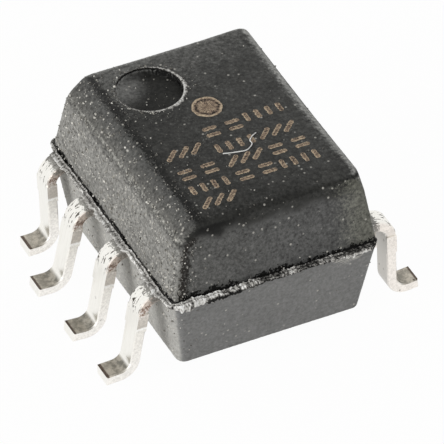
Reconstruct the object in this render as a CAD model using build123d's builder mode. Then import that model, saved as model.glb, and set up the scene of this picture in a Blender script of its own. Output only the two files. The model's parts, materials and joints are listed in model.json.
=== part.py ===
from build123d import *

import os
from math import cos, hypot, pi, radians, sin, tan

# An eight-lead small-outline optocoupler, in millimetres. X runs across the leads and Y along the
# body, with lead 1 at the back left. Z rises from the lowest foot.

# Moulded body: two drafted halves that meet at the parting plane, the lower one a little larger.
# Its length there is the row of leads and the end margin beyond it at each end.
stand_off = 0.31
lower_height = 1.54
upper_height = 1.49
lower_width = 3.96
end_margin = 0.412
parting_ledge = 0.085
lower_draft = 8.8
upper_draft = 8.7
bevel_leg = 0.36
bevel_edge_radius = 0.15
upper_edge_radius = 0.05
lower_corner_radius = 0.17
bottom_edge_radius = 0.05

# Round locating recess beside lead 1, from the bevel's and the back end's edges of the top face
recess_radius = 0.60
recess_depth = 0.13
recess_from_bevel = 0.206
recess_from_end = 0.26

# Leads, punched from one strip and bent; the rows sit a little to the back of the mould
lead_pitch = 1.27
lead_row_offset = 0.063
lead_width = 0.406
lead_thickness = 0.19
bend_radius = 0.20
foot_length = 0.505
sheared_edge = 0.02
lock_hole_radius = 0.09
lock_hole_inset = 0.28

# Stub of the cut dam bar on each leg
stub_drop = 0.28
stub_height = 0.37
stub_proud = 0.02

# How each lead is bent: the shoulder beyond the body, the leg's splay, and the foot's height and
# tilt. Handling has bent leads 1 to 4 each its own way, and leads 5 to 8 alike.
left_shoulders = (0.285, 0.315, 0.285, 0.285)
left_splays = (-2.2, 11.8, 10.1, 9.0)
left_foot_heights = (0.0, 0.186, 0.123, 0.13)
left_foot_tilts = (0.0, 3.0, 4.5, -2.0)
right_shoulder = 0.46
right_splay = 2.3
right_foot_height = 0.085
right_foot_tilt = 5.3

# Lead frame inside the body
jog_run = 0.45
jog_radius = 0.12
jog_start = 0.40
landing_length = 0.25
anchor_reach = 0.75
anchor_length = 0.25
anchor_width = 0.70
finger_gap = 0.25
hook_gap = 0.35
hook_length = 0.38

# Emitter and detector, face to face across the film
axis_x = 0.0
axis_y = -0.10
emitter_size = 0.32
emitter_thickness = 0.15
detector_width = 1.10
detector_length = 1.20
detector_thickness = 0.25
attach_thickness = 0.02
attach_margin = 0.03
emitter_pad_margin = 0.32
detector_pad_margin = 0.12
film_thickness = 0.08
film_gap = 0.04
upper_gap = 0.13
lower_gap = 0.12
gel_cover = 0.06
gel_inset = 0.06

# Bond wires, each from a ball on its die to a stitch on its lead, with a few flats for a round
wire_radius = 0.015
wire_flats = 8
ball_radius = 0.04
ball_height = 0.025
bond_inset = 0.08
stitch_inset = 0.14
loop_rise = 0.10

# Heights and places worked out from the sizes above
parting_z = stand_off + lower_height
side_leads = len(left_shoulders)
lower_length = (side_leads - 1) * lead_pitch + lead_width + 2 * end_margin
top_z = parting_z + upper_height
upper_width = lower_width - 2 * parting_ledge
upper_length = lower_length - 2 * parting_ledge
body_side = lower_width / 2
bend_centre_radius = bend_radius + lead_thickness / 2
lead_middle_z = parting_z - lead_thickness / 2
lead_bottom_z = parting_z - lead_thickness
film_bottom_z = parting_z - film_thickness / 2
film_top_z = parting_z + film_thickness / 2

emitter_face_z = film_top_z + upper_gap
emitter_pad_bottom_z = emitter_face_z + emitter_thickness + attach_thickness
frame_lift = emitter_pad_bottom_z - lead_bottom_z
detector_face_z = film_bottom_z - lower_gap
detector_pad_top_z = detector_face_z - detector_thickness - attach_thickness
frame_drop = parting_z - detector_pad_top_z

emitter_pad_half = emitter_size / 2 + emitter_pad_margin
detector_pad_half_x = detector_width / 2 + detector_pad_margin
detector_pad_half_y = detector_length / 2 + detector_pad_margin
bond_half_x = detector_width / 2 - bond_inset
bond_half_y = detector_length / 2 - bond_inset
film_half_x = bond_half_x - ball_radius - film_gap
film_half_y = bond_half_y - ball_radius - film_gap

# Each lead by its number, counted down the left row and back up the right one
lead_y = {}
lead_side = {}
lead_forms = {}
forms = zip(left_shoulders, left_splays, left_foot_heights, left_foot_tilts)
for place, form in enumerate(forms):
    left_number = place + 1
    right_number = 2 * side_leads - place
    row_y = lead_row_offset + lead_pitch * ((side_leads - 1) / 2 - place)
    lead_y[left_number] = row_y
    lead_y[right_number] = row_y
    lead_side[left_number] = -1
    lead_side[right_number] = 1
    lead_forms[left_number] = form
    lead_forms[right_number] = (right_shoulder, right_splay, right_foot_height, right_foot_tilt)


def outer_corners(number):
    # The centre line's corners outside the body, as a distance out from the middle and a height:
    # the shoulder's end, the heel and the toe. The heel's bend stands on the foot's height.
    shoulder, splay, foot_height, foot_tilt = lead_forms[number]
    lean = radians(splay)
    tilt = radians(foot_tilt)
    reach = body_side + shoulder
    bend_centre_z = foot_height + bend_radius + lead_thickness
    straight_leg = (lead_middle_z - bend_centre_z + bend_centre_radius * sin(lean)) / cos(lean)
    leg = straight_leg + bend_centre_radius * tan((pi / 2 + tilt - lean) / 2)
    heel_reach = reach + leg * sin(lean)
    heel_z = lead_middle_z - leg * cos(lean)
    toe_reach = heel_reach + foot_length * cos(tilt)
    toe_z = heel_z + foot_length * sin(tilt)
    return [(reach, lead_middle_z), (heel_reach, heel_z), (toe_reach, toe_z)]


def bent_lead(number, inner_corners, lock_hole):
    # One lead bent along its centre line, with chamfered long edges and its dam-bar stub. The hole
    # fills with compound, which holds the lead in.
    side = lead_side[number]
    shoulder, splay = lead_forms[number][:2]
    points = [(side * reach, height) for reach, height in inner_corners + outer_corners(number)]
    radii = [jog_radius] * (len(inner_corners) - 1) + [bend_centre_radius] * 2
    section_plane = Plane.XZ.offset(-lead_y[number])
    stub_z = lead_middle_z - stub_drop - stub_height / 2
    stub_reach = body_side + shoulder + (lead_middle_z - stub_z) * tan(radians(splay))
    with BuildPart() as lead:
        with BuildSketch(section_plane):
            with BuildLine():
                FilletPolyline(*points, radius=radii)
            trace(line_width=lead_thickness)
        extrude(amount=lead_width / 2, both=True)
        for edge_y in (lead_y[number] - lead_width / 2, lead_y[number] + lead_width / 2):
            long_edges = lead.edges().filter_by_position(Axis.Y, edge_y - sheared_edge, edge_y + sheared_edge)
            chamfer(long_edges, length=sheared_edge)
        with BuildSketch(section_plane):
            with BuildLine():
                FilletPolyline(*points, radius=radii)
            trace(line_width=lead_thickness)
            with Locations((side * stub_reach, stub_z)):
                Rectangle(2 * lead_thickness, stub_height, mode=Mode.INTERSECT)
        extrude(amount=lead_width / 2 + stub_proud, both=True)
        if lock_hole:
            with BuildSketch(Plane.XY.offset(parting_z)):
                with Locations((side * (body_side - lock_hole_inset), lead_y[number])):
                    Circle(lock_hole_radius)
            extrude(amount=-lead_thickness, mode=Mode.SUBTRACT)
    return lead.part


def drafted_half(width, length, height, draft):
    # Half of the body, from the parting plane up or down, leaning in all round
    with BuildPart() as half:
        with BuildSketch(Plane.XY.offset(parting_z)):
            Rectangle(width, length)
        extrude(amount=height, taper=draft)
    return half.part


def upright_edges(half, height):
    # The four edges that rise over more than half of the height
    return half.edges().filter_by(lambda edge: edge.bounding_box().size.Z > height / 2)


def bond_wire(start, end, run_z):
    # Ball on the die, rise, run and fall to a stitch on the lead, in one upright plane
    from_start = 1 if run_z > start[2] else -1
    from_end = 1 if run_z > end[2] else -1
    with BuildPart() as wire:
        with BuildLine():
            Polyline(start, (start[0], start[1], run_z), (end[0], end[1], run_z), end)
        with BuildSketch(Plane(start, z_dir=(0, 0, from_start))):
            RegularPolygon(wire_radius, side_count=wire_flats)
        sweep(transition=Transition.RIGHT)
        with BuildSketch(Plane(start, z_dir=(0, 0, from_start))):
            Circle(ball_radius)
        extrude(amount=ball_height)
        with BuildSketch(Plane(end, z_dir=(0, 0, from_end))):
            Circle(ball_radius)
        extrude(amount=ball_height)
    return wire.part


# Route of each lead inside the body, from its inner end to where it leaves
anchor_end = body_side - anchor_reach
finger_end = axis_x + detector_pad_half_x + finger_gap
landing_end = emitter_pad_half + finger_gap - axis_x
lifted_z = lead_middle_z + frame_lift
lifted_jog = [(landing_end + landing_length, lifted_z), (body_side - jog_start, lead_middle_z)]
strips = {
    1: bent_lead(1, [(anchor_end, lead_middle_z)], False),
    2: bent_lead(2, [(landing_end, lifted_z)] + lifted_jog, True),
    3: bent_lead(3, [(-emitter_pad_half - axis_x, lifted_z)] + lifted_jog, True),
    4: bent_lead(4, [(anchor_end, lead_middle_z)], False),
    5: bent_lead(5, [(axis_x, lead_middle_z)], True),
    6: bent_lead(6, [(finger_end, lead_middle_z)], True),
    7: bent_lead(7, [(finger_end, lead_middle_z)], True),
    8: bent_lead(8, [(finger_end, lead_middle_z)], True),
}
leads = {}

# Leads 1 and 4 carry nothing, and each ends in a T that anchors it
for number in (1, 4):
    with BuildPart() as anchor_lead:
        add(strips[number])
        with BuildSketch(Plane.XY.offset(parting_z)):
            with Locations((anchor_length / 2 - anchor_end, lead_y[number])):
                Rectangle(anchor_length, anchor_width)
        extrude(amount=-lead_thickness)
    leads[number] = anchor_lead.part

# Lead 2 jogs up to end level with the emitter's pad, and a wire joins them
leads[2] = strips[2]

# Lead 3 jogs up and widens into the pad that carries the emitter face down
emitter_pad_front_y = lead_y[3] - lead_width / 2
emitter_pad_back_y = axis_y + emitter_pad_half
with BuildPart() as emitter_lead:
    add(strips[3])
    with BuildSketch(Plane.XY.offset(parting_z + frame_lift)):
        with Locations((axis_x, (emitter_pad_front_y + emitter_pad_back_y) / 2)):
            Rectangle(2 * emitter_pad_half, emitter_pad_back_y - emitter_pad_front_y)
    extrude(amount=-lead_thickness)
leads[3] = emitter_lead.part

# Lead 5 runs in flat, and its pad steps down along the body to carry the detector face up
detector_pad_front_y = axis_y - detector_pad_half_y
detector_pad_back_y = axis_y + detector_pad_half_y
pad_route = [
    (lead_y[5] - lead_width / 2, lead_middle_z),
    (detector_pad_front_y - jog_run, lead_middle_z),
    (detector_pad_front_y, lead_middle_z - frame_drop),
    (detector_pad_back_y, lead_middle_z - frame_drop),
]
with BuildPart() as detector_lead:
    add(strips[5])
    with BuildSketch(Plane.YZ.offset(axis_x)):
        with BuildLine():
            FilletPolyline(*pad_route, radius=jog_radius)
        trace(line_width=lead_thickness)
    extrude(amount=detector_pad_half_x, both=True)
leads[5] = detector_lead.part

# Leads 6, 7 and 8 end in fingers beside the detector, and lead 8's hooks forward to reach it
hook_front_y = lead_y[7] + lead_width / 2 + hook_gap
hook_back_y = lead_y[8] + lead_width / 2
leads[6] = strips[6]
leads[7] = strips[7]
with BuildPart() as hooked_lead:
    add(strips[8])
    with BuildSketch(Plane.XY.offset(parting_z)):
        with Locations((finger_end + hook_length / 2, (hook_front_y + hook_back_y) / 2)):
            Rectangle(hook_length, hook_back_y - hook_front_y)
    extrude(amount=-lead_thickness)
leads[8] = hooked_lead.part

# Dies, each on its film of die attach
with BuildPart() as emitter_die_attach:
    with BuildSketch(Plane.XY.offset(emitter_pad_bottom_z)):
        with Locations((axis_x, axis_y)):
            Rectangle(emitter_size + 2 * attach_margin, emitter_size + 2 * attach_margin)
    extrude(amount=-attach_thickness)

with BuildPart() as emitter_die:
    with BuildSketch(Plane.XY.offset(emitter_pad_bottom_z - attach_thickness)):
        with Locations((axis_x, axis_y)):
            Rectangle(emitter_size, emitter_size)
    extrude(amount=-emitter_thickness)

with BuildPart() as detector_die_attach:
    with BuildSketch(Plane.XY.offset(detector_pad_top_z)):
        with Locations((axis_x, axis_y)):
            Rectangle(detector_width + 2 * attach_margin, detector_length + 2 * attach_margin)
    extrude(amount=attach_thickness)

with BuildPart() as detector_die:
    with BuildSketch(Plane.XY.offset(detector_pad_top_z + attach_thickness)):
        with Locations((axis_x, axis_y)):
            Rectangle(detector_width, detector_length)
    extrude(amount=detector_thickness)

# Clear film that holds off the voltage between the two sides, across the light's path
with BuildPart() as insulating_film:
    with BuildSketch(Plane.XY.offset(film_bottom_z)):
        with Locations((axis_x, axis_y)):
            Rectangle(2 * film_half_x, 2 * film_half_y)
    extrude(amount=film_thickness)

# Bond wires: the emitter's to lead 2, and the detector's to leads 5, 6, 7 and 8
run_z = parting_z + loop_rise
bond_x = axis_x + bond_half_x
front_bond_y = axis_y - bond_half_y
back_bond_y = axis_y + bond_half_y
stitch_x = finger_end + stitch_inset
emitter_run_z = emitter_face_z - upper_gap / 2
wires = {
    2: bond_wire(
        (axis_x, axis_y, emitter_face_z),
        (-landing_end - stitch_inset, lead_y[2], emitter_pad_bottom_z),
        emitter_run_z,
    ),
    5: bond_wire((axis_x, front_bond_y, detector_face_z), (axis_x, lead_y[5], parting_z), run_z),
    6: bond_wire((bond_x, front_bond_y, detector_face_z), (stitch_x, lead_y[6], parting_z), run_z),
    7: bond_wire((bond_x, axis_y, detector_face_z), (stitch_x, lead_y[7], parting_z), run_z),
    8: bond_wire(
        (bond_x, back_bond_y, detector_face_z),
        (stitch_x, hook_front_y + stitch_inset, parting_z),
        run_z,
    ),
}

# Clear gel between the dies, a drop that spreads over the detector's bonds and narrows upwards to
# wet the emitter's pad
gel_foot_radius = hypot(bond_half_x, bond_half_y) + ball_radius + gel_cover
gel_top_radius = emitter_pad_half - gel_inset
with BuildPart() as coupling_gel:
    with BuildSketch(Plane.XZ.offset(-axis_y)):
        with BuildLine():
            Polyline(
                (axis_x, detector_face_z),
                (axis_x + gel_foot_radius, detector_face_z),
                (axis_x + gel_top_radius, emitter_pad_bottom_z),
                (axis_x, emitter_pad_bottom_z),
                close=True,
            )
        make_face()
    revolve(axis=Axis((axis_x, axis_y, 0), (0, 0, 1)))
    add(emitter_die_attach.part, mode=Mode.SUBTRACT)
    add(emitter_die.part, mode=Mode.SUBTRACT)
    add(insulating_film.part, mode=Mode.SUBTRACT)
    for wire in wires.values():
        add(wire, mode=Mode.SUBTRACT)

# Moulded body: the two halves, the soft bevel along lead 1's side and the recess, with every inner
# piece taken out of the compound that was moulded round it
with BuildPart() as lower_half:
    add(drafted_half(lower_width, lower_length, -lower_height, lower_draft))
    fillet(upright_edges(lower_half, lower_height), radius=lower_corner_radius)
    fillet(lower_half.faces().sort_by(Axis.Z)[0].edges(), radius=bottom_edge_radius)

top_lean = tan(radians(upper_draft))
bevel_foot_z = top_z - bevel_leg
bevel_foot_x = (upper_height - bevel_leg) * top_lean - upper_width / 2
bevel_head_x = bevel_foot_x + bevel_leg
top_end_y = upper_length / 2 - upper_height * top_lean
with BuildPart() as mould_body:
    add(drafted_half(upper_width, upper_length, upper_height, upper_draft))
    split(bisect_by=Plane((bevel_foot_x, 0, bevel_foot_z), z_dir=(-1, 0, 1)), keep=Keep.BOTTOM)
    bevel_face = mould_body.faces().sort_by(Axis((0, 0, 0), (-1, 0, 1)))[-1]
    fillet(bevel_face.edges().filter_by(Axis.Y), radius=bevel_edge_radius)
    top_outline = mould_body.faces().sort_by(Axis.Z)[-1].edges().sort_by(Axis.X)[1:]
    fillet(upright_edges(mould_body, upper_height) + top_outline, radius=upper_edge_radius)
    with BuildSketch(Plane.XY.offset(top_z)):
        with Locations((
            bevel_head_x + recess_from_bevel + recess_radius,
            top_end_y - recess_from_end - recess_radius,
        )):
            Circle(recess_radius)
    extrude(amount=-recess_depth, mode=Mode.SUBTRACT)
    add(lower_half.part)
    for lead in leads.values():
        add(lead, mode=Mode.SUBTRACT)
    for wire in wires.values():
        add(wire, mode=Mode.SUBTRACT)
    add(emitter_die_attach.part, mode=Mode.SUBTRACT)
    add(emitter_die.part, mode=Mode.SUBTRACT)
    add(detector_die_attach.part, mode=Mode.SUBTRACT)
    add(detector_die.part, mode=Mode.SUBTRACT)
    add(insulating_film.part, mode=Mode.SUBTRACT)
    add(coupling_gel.part, mode=Mode.SUBTRACT)

os.makedirs("parts", exist_ok=True)
mould_body.part.label = "mould_body"
export_step(mould_body.part, "parts/mould_body.step")
for number, lead in leads.items():
    lead.label = f"lead_{number}"
    export_step(lead, f"parts/lead_{number}.step")
emitter_die.part.label = "emitter_die"
export_step(emitter_die.part, "parts/emitter_die.step")
emitter_die_attach.part.label = "emitter_die_attach"
export_step(emitter_die_attach.part, "parts/emitter_die_attach.step")
detector_die.part.label = "detector_die"
export_step(detector_die.part, "parts/detector_die.step")
detector_die_attach.part.label = "detector_die_attach"
export_step(detector_die_attach.part, "parts/detector_die_attach.step")
insulating_film.part.label = "insulating_film"
export_step(insulating_film.part, "parts/insulating_film.step")
coupling_gel.part.label = "coupling_gel"
export_step(coupling_gel.part, "parts/coupling_gel.step")
for number, wire in wires.items():
    wire.label = f"bond_wire_{number}"
    export_step(wire, f"parts/bond_wire_{number}.step")
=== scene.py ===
import json
from functools import partial
from math import ceil, cos, pi, radians, sin, tan

import bpy
import numpy as np
from mathutils import Matrix, Vector


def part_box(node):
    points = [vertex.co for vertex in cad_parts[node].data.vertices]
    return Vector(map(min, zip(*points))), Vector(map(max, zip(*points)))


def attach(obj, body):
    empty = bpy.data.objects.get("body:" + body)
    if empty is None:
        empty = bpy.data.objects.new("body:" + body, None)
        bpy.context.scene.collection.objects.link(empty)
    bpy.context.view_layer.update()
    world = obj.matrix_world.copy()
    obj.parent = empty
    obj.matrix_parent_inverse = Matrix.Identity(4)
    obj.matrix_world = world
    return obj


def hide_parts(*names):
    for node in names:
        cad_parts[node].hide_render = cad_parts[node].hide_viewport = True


# An eight-lead small-outline optocoupler, a loose part photographed close up on white.
# The frame is in metres; sizes written here are in millimetres, and toMetres turns them.

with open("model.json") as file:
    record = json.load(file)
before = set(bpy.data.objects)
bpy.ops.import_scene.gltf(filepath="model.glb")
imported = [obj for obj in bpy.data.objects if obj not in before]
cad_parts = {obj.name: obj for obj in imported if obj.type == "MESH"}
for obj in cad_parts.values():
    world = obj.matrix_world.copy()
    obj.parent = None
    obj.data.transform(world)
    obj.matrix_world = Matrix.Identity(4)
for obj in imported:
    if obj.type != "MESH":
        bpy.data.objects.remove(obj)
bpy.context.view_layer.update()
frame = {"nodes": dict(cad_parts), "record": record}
nodes = frame["nodes"]
toMetres = 0.001


# Small helpers

def toLinear(hexColour):
    # sRGB hex to linear red, green, blue and full opacity
    parts = [int(hexColour[i:i + 2], 16) / 255 for i in (1, 3, 5)]
    return tuple(c / 12.92 if c <= 0.04045 else ((c + 0.055) / 1.055) ** 2.4 for c in parts) + (1.0,)


def addNode(tree, kind, *inputs, **settings):
    # One node, its settings, and its inputs in order or in a dictionary by socket: values, sRGB hex colours,
    # sockets, or whole nodes that stand for their first output in use
    node = tree.nodes.new("ShaderNode" + kind)
    for name, value in settings.items():
        setattr(node, name, value)
    named = inputs[0] if inputs and isinstance(inputs[0], dict) else dict(enumerate(inputs))
    for name, value in named.items():
        if isinstance(value, bpy.types.Node):
            value = next(socket for socket in value.outputs if socket.enabled)
        if isinstance(value, bpy.types.NodeSocket):
            tree.links.new(value, node.inputs[name])
        else:
            node.inputs[name].default_value = toLinear(value) if isinstance(value, str) else value
    return node


# Settings that many nodes share
eased = {"interpolation_type": "SMOOTHSTEP"}
inColour = {"data_type": "RGBA"}
times = {"operation": "MULTIPLY"}
timesPlus = {"operation": "MULTIPLY_ADD"}


def newMaterial(name):
    # A material with an empty node tree, and what adds nodes to it
    material = bpy.data.materials.new(name)
    material.use_nodes = True
    material.node_tree.nodes.clear()
    return material, partial(addNode, material.node_tree)


def placeAndFacing(add):
    # The place in millimetres, its x, y and z, and the outward direction by axis
    mm = add("Mapping", {"Vector": add("TexCoord").outputs["Object"], "Scale": (1000, 1000, 1000)})
    x, y, z = add("SeparateXYZ", mm).outputs
    return mm, x, y, z, add("SeparateXYZ", add("NewGeometry").outputs["Normal"]).outputs


def setStops(ramp, stops):
    # A colour ramp's stops, each a position and an sRGB hex colour
    elements = ramp.color_ramp.elements
    while len(elements) < len(stops):
        elements.new(0.5)
    for element, (position, shade) in zip(elements, stops):
        element.position = position
        element.color = toLinear(shade)


def boxInMm(nodeName):
    # The low and high corners of a node's box
    low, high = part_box(nodeName)
    return np.array(low) / toMetres, np.array(high) / toMetres


def addPiece(name, points, faceSets, material, smooth=True, tone=None):
    # A mesh from arrays: points in millimetres, sets of faces with the same number of corners, and a
    # tone for each point where its material reads one. It rides on the part's root body and takes the finish it is
    # given.
    mesh = bpy.data.meshes.new(name)
    points = np.asarray(points, dtype=float) * toMetres
    mesh.vertices.add(len(points))
    mesh.vertices.foreach_set("co", points.ravel())
    counts = np.concatenate([np.full(len(faces), faces.shape[1]) for faces in faceSets])
    corners = np.concatenate([faces.ravel() for faces in faceSets])
    mesh.loops.add(len(corners))
    mesh.loops.foreach_set("vertex_index", corners)
    mesh.polygons.add(len(counts))
    mesh.polygons.foreach_set("loop_start", np.concatenate([[0], np.cumsum(counts)[:-1]]))
    mesh.polygons.foreach_set("use_smooth", np.full(len(counts), smooth))
    if tone is not None:
        layer = mesh.attributes.new("tone", "FLOAT", "POINT")
        layer.data.foreach_set("value", np.asarray(tone, dtype=float).ravel())
    mesh.update(calc_edges=True)
    piece = bpy.data.objects.new(name, mesh)
    bpy.context.collection.objects.link(piece)
    mesh.materials.append(material)
    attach(piece, "root")
    return piece


def gridFaces(rows, columns, wrapRows=False, wrapColumns=True):
    # Quads over points kept row by row; a wrapped side joins its last line to its first
    row = np.arange(rows if wrapRows else rows - 1)
    column = np.arange(columns if wrapColumns else columns - 1)
    row, column = (v.ravel() for v in np.meshgrid(row, column, indexing="ij"))
    nextRow, nextColumn = (row + 1) % rows, (column + 1) % columns
    return np.stack([row * columns + column, row * columns + nextColumn,
                     nextRow * columns + nextColumn, nextRow * columns + column], axis=1)


def endCaps(rows, columns):
    # One many-sided face over each end of an open tube of rings
    first = np.arange(columns)[::-1]
    last = (rows - 1) * columns + np.arange(columns)
    return np.stack([first, last])


def wander(random, places, spacing, length, closed=False):
    # Random values from -1 to 1 every spacing along a line, joined by smooth steps
    count = max(int(ceil(length / spacing)), 2)
    values = random.uniform(-1, 1, count + 1)
    if closed:
        values[-1] = values[0]
    step = np.clip(np.asarray(places) / length, 0, 1) * count
    index = np.minimum(step.astype(int), count - 1)
    part = step - index
    part = part * part * (3 - 2 * part)
    return values[index] * (1 - part) + values[index + 1] * part


def within(values, start, end, soft):
    # 1 between start and end, falling to 0 over a soft width outside them
    rise = np.clip((values - start) / soft + 1, 0, 1)
    fall = np.clip((end - values) / soft + 1, 0, 1)
    return rise * fall


# Camera

camera = {"azimuth": -26.295, "elevation": 40.126, "roll": 0.219, "distance": 127.98, "lens": 597.49,
          "targetHeight": 1.77, "shiftRight": 0.1684, "shiftUp": -0.4724}


def placeCamera(c):
    # Stands back from a point on the vertical axis, along the line of sight, then rolls a little
    a, e, r = radians(c["azimuth"]), radians(c["elevation"]), radians(c["roll"])
    look = Vector((-sin(a) * cos(e), cos(a) * cos(e), -sin(e)))
    right = Vector((cos(a), sin(a), 0))
    up = right.cross(look)
    rolledRight = right * cos(r) + up * sin(r)
    rolledUp = up * cos(r) - right * sin(r)
    eye = Vector((0, 0, c["targetHeight"])) - look * c["distance"]
    eye += rolledRight * c["shiftRight"] + rolledUp * c["shiftUp"]
    data = bpy.data.cameras.new("camera")
    data.lens = c["lens"]
    data.sensor_width = 36
    data.clip_start = 0.001
    data.clip_end = 10
    obj = bpy.data.objects.new("camera", data)
    bpy.context.collection.objects.link(obj)
    turn = Matrix((rolledRight, rolledUp, -look)).transposed().to_4x4()
    obj.matrix_world = Matrix.Translation(eye * toMetres) @ turn
    bpy.context.scene.camera = obj


placeCamera(camera)
print("camera placed")


# Floor, world and lamps

studio = {"floorColour": "#f4f3f1", "floorWhite": 1.0, "floorShadow": 0.03, "horizonLevel": 0.90, "zenithLevel": 0.45,
          "keyPower": 0.42, "keySize": 0.16, "keyDistance": 0.30, "keyAzimuth": 80, "keyElevation": 16,
          "fillPower": 0.012, "fillSize": 0.25, "fillDistance": 0.40, "fillAzimuth": -25, "fillElevation": 22}


def seenRays(add):
    # 1 for what the camera, gloss and glass see, 0 for the light that spreads
    path = add("LightPath").outputs
    seen = add("Math", path["Is Camera Ray"], path["Is Glossy Ray"], operation="MAXIMUM")
    return add("Math", seen, path["Is Transmission Ray"], operation="MAXIMUM")


def makeFloor(s):
    # A wide flat sheet under the lowest foot. The camera sees it white with a faint shadow.
    half = 1.5
    mesh = bpy.data.meshes.new("floor")
    mesh.from_pydata([(-half, -half, 0), (half, -half, 0), (half, half, 0), (-half, half, 0)], [], [(0, 1, 2, 3)])
    floor = bpy.data.objects.new("floor", mesh)
    bpy.context.collection.objects.link(floor)
    material, add = newMaterial("matteWhiteSheet")
    paper = add("BsdfDiffuse", {"Color": s["floorColour"]})
    glow = add("Emission", {"Color": (1, 1, 1, 1), "Strength": s["floorWhite"]})
    share = add("Math", seenRays(add), 1 - s["floorShadow"], **times)
    add("OutputMaterial", {"Surface": add("MixShader", share, paper, glow)})
    mesh.materials.append(material)


def makeWorld(s):
    # White to the eye, in gloss and through glass; as light, a bright horizon under a dimmer ceiling
    world = bpy.data.worlds.new("studio")
    bpy.context.scene.world = world
    world.use_nodes = True
    world.node_tree.nodes.clear()
    add = partial(addNode, world.node_tree)
    upward = add("SeparateXYZ", add("TexCoord").outputs["Generated"]).outputs["Z"]
    spread = add("MapRange", upward, 0.0, 0.9, s["horizonLevel"], s["zenithLevel"])
    level = add("Mix", {0: seenRays(add), 2: spread, 3: 1.0}, data_type="FLOAT")
    add("OutputWorld", {"Surface": add("Background", {"Color": (1, 1, 1, 1), "Strength": level})})


def makeLamp(name, power, size, distance, azimuth, elevation):
    # A square softbox aimed at the part; azimuth 0 stands at the front and 90 on the left
    a, e = radians(azimuth), radians(elevation)
    away = Vector((-sin(a) * cos(e), -cos(a) * cos(e), sin(e)))
    data = bpy.data.lights.new(name, "AREA")
    data.energy = power
    data.size = size
    obj = bpy.data.objects.new(name, data)
    bpy.context.collection.objects.link(obj)
    obj.location = away * distance + Vector((0, 0, 0.0015))
    obj.rotation_euler = away.to_track_quat("Z", "Y").to_euler()


makeFloor(studio)
makeWorld(studio)
makeLamp("keyBox", studio["keyPower"], studio["keySize"], studio["keyDistance"],
         studio["keyAzimuth"], studio["keyElevation"])
makeLamp("fillBox", studio["fillPower"], studio["fillSize"], studio["fillDistance"],
         studio["fillAzimuth"], studio["fillElevation"])
bpy.context.scene.view_settings.view_transform = "Standard"
print("studio lit")


# The moulded body's planes, read from the frame and its moulding sizes in millimetres

bodyLow, bodyHigh = boxInMm("mould_body")
body = {"halfWidth": bodyHigh[0], "halfLength": bodyHigh[1], "topZ": bodyHigh[2], "bottomZ": bodyLow[2],
        "partingZ": boxInMm("lead_4")[1][2], "ledge": 0.085, "upperDraft": 8.7, "lowerDraft": 8.8,
        "bevelLeg": 0.36, "lowerCorner": 0.17}
upperLean = tan(radians(body["upperDraft"]))
lowerLean = tan(radians(body["lowerDraft"]))
topInset = body["ledge"] + (body["topZ"] - body["partingZ"]) * upperLean
bevelFootX = -body["halfWidth"] + body["ledge"] + (body["topZ"] - body["partingZ"] - body["bevelLeg"]) * upperLean
bevelHeadX = bevelFootX + body["bevelLeg"]
recess = {"x": -0.556, "y": 1.348, "radius": 0.60, "depth": 0.13}


# Moulded body material

# The face colours are painted light and shade: the left side lit and paler still on its lower half, where the floor's
# light falls, the front in shade and a little darker towards its right, and the top dark. The top's lighter end and
# pale edges, the bevel's foot line and the recess's pale spot are painted highlights and reflections; the bands, the
# front corner and the black are painted shade.
compound = {"topDark": "#383836", "topSheenLight": "#4a4a48", "topBand": "#171716", "topEdge": "#a6a6a2",
            "bevelHead": "#545452", "bevelFoot": "#6b6a66", "bevelFootHighlight": "#9b9a94",
            "leftUpper": "#858480", "leftLower": "#adaca8", "frontUpperLeft": "#5f5f5d", "frontUpperRight": "#5c5c5b",
            "frontRight": "#76766c", "frontCorner": "#292623", "frontLower": "#818180",
            "recessFloor": "#2c2c2a", "recessSheen": "#92928f", "black": "#0b0b0a", "speck": "#d6d3ca",
            # pattern sizes in millimetres
            "grainSize": 0.058, "speckSpacing": 0.085, "patchSize": 0.45, "scuffLength": 0.16, "scuffWidth": 0.022,
            # facings over which a zone sets in, as parts of the normal
            "bevelUp": (0.32, 0.52), "bevelLeft": (-0.26, -0.40), "topUp": (0.25, 0.60), "frontFacing": (-0.55, -0.90),
            "leftFacing": (-0.45, -0.65), "rightEdge": (0.04, 0.42, 0.0, 0.85), "backEdge": (0.08, 0.50, 0.0, 0.45),
            # places over which a zone sets in, in millimetres, some with how far it covers at each end
            "frontFade": (-1.9, 0.7), "bandFade": (-0.2, -1.0), "rightDust": (1.15, 1.75),
            "backSheen": (1.0, 2.4, 0.0, 0.24),
            "scuffFade": ((0.95, 1.25), (1.80, 1.55)),
            # the pale spot of the recess floor's painted reflection, from the recess's middle, and the top's painted
            # sheen: its slope from dark to light for each millimetre
            "sheenSpot": (-0.50, 0.42), "topSheenSlope": (0.187, 0.130, 0.0),
            # distances from the left corner's edge, the top's edges, the top and the parting, in millimetres
            "wrap": (0.085, 0.035), "cornerShade": (0.30, 0.12), "cornerPits": (0.50, 0.10),
            "leftBand": (0.12, 0.34, 0.85, 0.0), "frontBand": (0.02, 0.22, 0.70, 0.0), "bevelHighlightWidth": (0.055, 0.015),
            "roundedEdgeShade": (-0.20, 0.03), "shadowBand": (-0.16, 0.08), "floorDepth": (-0.05, -0.10),
            "wallDepth": (-0.20, -0.16), "scuffRise": (-0.34, -0.12), "ledgeRise": (0.40, 0.30),
            "strip": (0.022, 0.004),
            # grain and dust strengths, and how far specks, pits, scuffs and the right's dust cover
            "grain": 2.55, "lowerGrain": 0.45, "patches": 0.80, "lowerPatches": 0.25, "dust": (-0.5, 2.5, 0.18, 0.30),
            "leftDust": 0.55, "cornerDust": 0.9, "specks": 0.34, "speckCover": 0.62, "pitCover": 0.75,
            "scuffCover": 0.75,
            "rightCover": 0.7, "bump": 0.6, "bumpHeight": 0.000014, "roughness": 0.62, "specular": 0.12}


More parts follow.
